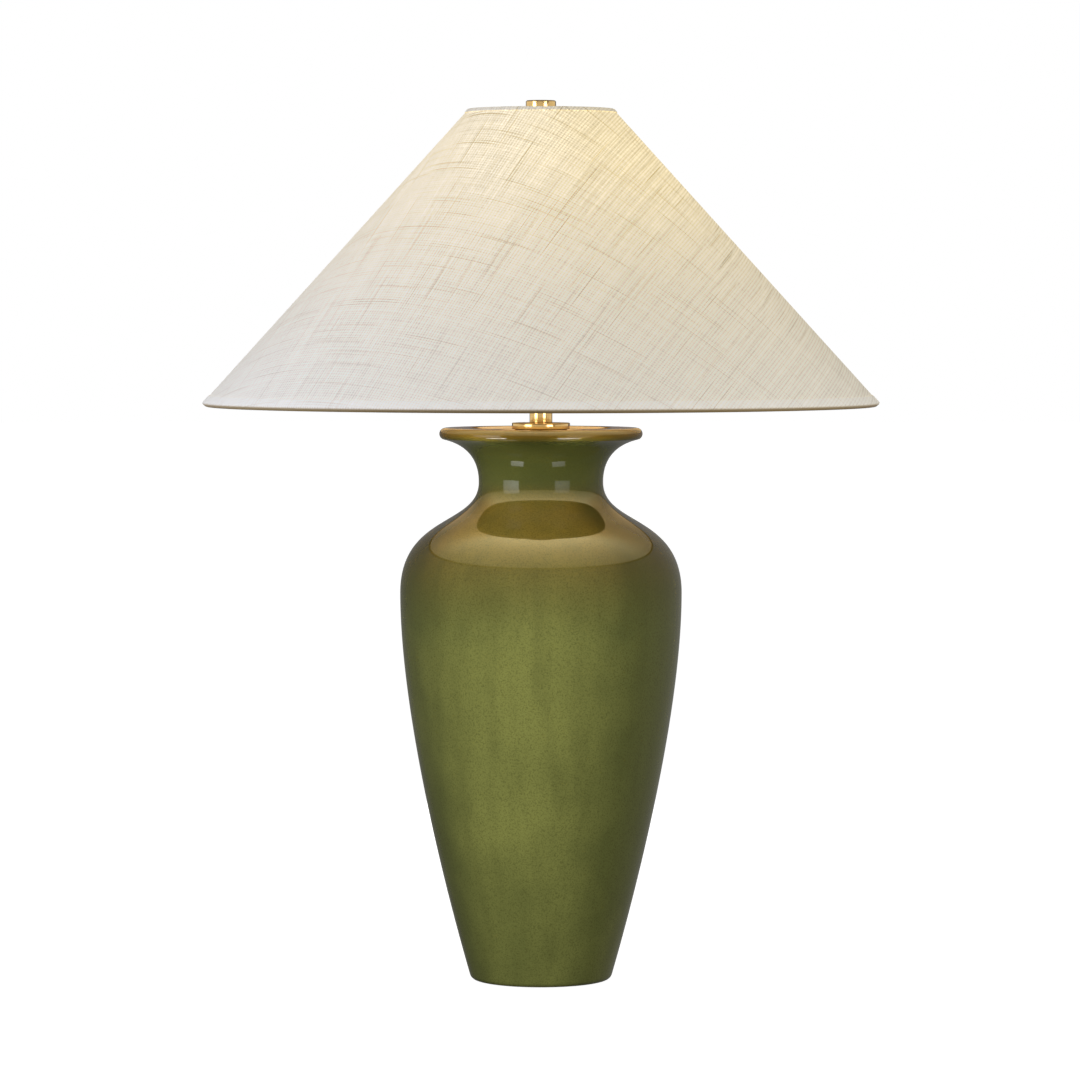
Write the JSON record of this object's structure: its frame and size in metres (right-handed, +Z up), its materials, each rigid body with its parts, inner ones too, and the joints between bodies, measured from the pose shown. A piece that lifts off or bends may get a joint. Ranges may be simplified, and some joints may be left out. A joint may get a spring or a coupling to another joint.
{
  "type": "table lamp",
  "caption": "Table lamp: a glazed ceramic baluster jar with a turned brass neck, a wire harp over the bulb and a conical linen shade held by a round brass finial; stands on felt.",
  "frame": {"origin": "middle of the foot on the table, under the lamp's upright axis", "axes": "+Z up along the lamp's axis; -Y is the pictured front, with the cord inlet at the back on +Y"},
  "size_m": [0.5693, 0.5694, 0.7418],
  "materials": {
    "olive_glaze": "glossy mottled glaze",
    "satin_brass": "satin, turned",
    "linen": "slubby plain weave",
    "white_styrene": "matt",
    "zinc_steel": "zinc plated",
    "white_wire": "white enamel",
    "black_rubber": "matt",
    "dark_felt": "pressed felt",
    "black_phenolic": "moulded",
    "fibre_sleeve": "plain",
    "rolled_aluminium": "rolled",
    "opal_globe": "frosted opal",
    "white_plastic": "moulded"
  },
  "bodies": {
    "base": {"ceramic_body": "olive_glaze", "cap_disc": "satin_brass", "neck_tube": "satin_brass", "harp_saddle": "satin_brass", "socket_cap": "satin_brass", "socket_shell": "satin_brass", "centre_contact": "satin_brass", "terminal_screws": "satin_brass", "base_nut": "zinc_steel", "base_lock_washer": "zinc_steel", "base_washer": "zinc_steel", "lamp_pipe": "zinc_steel", "socket_set_screw": "zinc_steel", "cap_gasket": "black_rubber", "cord_bush": "black_rubber", "base_felt": "dark_felt", "socket_body": "black_phenolic", "socket_insulator": "fibre_sleeve", "screw_shell": "rolled_aluminium"},
    "switch": {"switch_shaft": "satin_brass", "switch_knob": "black_phenolic"},
    "harp": {"harp_bow": "satin_brass", "harp_stud": "satin_brass"},
    "left_ferrule": {"left_ferrule": "satin_brass"},
    "right_ferrule": {"right_ferrule": "satin_brass"},
    "spider_hub": {"spider_washer": "satin_brass"},
    "shade": {"spider_arms": "white_wire", "top_ring": "white_wire", "bottom_ring": "white_wire", "shade_lining": "white_styrene", "shade_linen": "linen", "top_trim": "linen", "bottom_trim": "linen"},
    "finial_insert": {"finial_insert": "satin_brass"},
    "finial_knob": {"finial_knob": "satin_brass"},
    "bulb_tip": {"bulb_contact": "satin_brass", "bulb_insulator": "black_phenolic"},
    "bulb": {"bulb_cap": "rolled_aluminium", "bulb_housing": "white_plastic", "led_board": "white_plastic", "bulb_globe": "opal_globe"}
  },
  "joints": [
    {"name": "switch_turn", "type": "hinge", "parent": "base", "child": "switch", "pos_m": [0, -0.02, 0.5342], "axis": [0, -1, 0], "continuous": true},
    {"name": "harp_lift", "type": "slide", "parent": "base", "child": "harp", "axis": [0, 0, 1], "range_m": [0, 0.03]},
    {"name": "left_ferrule_slide", "type": "slide", "parent": "harp", "child": "left_ferrule", "axis": [0, 0, 1], "range_m": [0, 0.012]},
    {"name": "right_ferrule_slide", "type": "slide", "parent": "harp", "child": "right_ferrule", "axis": [0, 0, 1], "range_m": [0, 0.012]},
    {"name": "shade_lift", "type": "slide", "parent": "harp", "child": "spider_hub", "axis": [0, 0, 1], "range_m": [0, 0.26]},
    {"name": "shade_swivel", "type": "hinge", "parent": "spider_hub", "child": "shade", "pos_m": [0, 0, 0.7203], "axis": [0, 0, 1], "continuous": true},
    {"name": "finial_rise", "type": "slide", "parent": "spider_hub", "child": "finial_insert", "axis": [0, 0, 1], "range_m": [0, 0.01412]},
    {"name": "finial_turn", "type": "hinge", "parent": "finial_insert", "child": "finial_knob", "pos_m": [0, 0, 0.7228], "axis": [0, 0, 1], "range_deg": [0, 5400]},
    {"name": "bulb_rise", "type": "slide", "parent": "base", "child": "bulb_tip", "axis": [0, 0, 1], "range_m": [0, 0.01453]},
    {"name": "bulb_turn", "type": "hinge", "parent": "bulb_tip", "child": "bulb", "pos_m": [0, 0, 0.5521], "axis": [0, 0, 1], "range_deg": [0, 1440]}
  ],
  "couplings": [
    {"joint": "finial_rise", "follows": "finial_turn", "m_per_rad": 0.00014972},
    {"joint": "bulb_rise", "follows": "bulb_turn", "m_per_rad": 0.00057773}
  ]
}
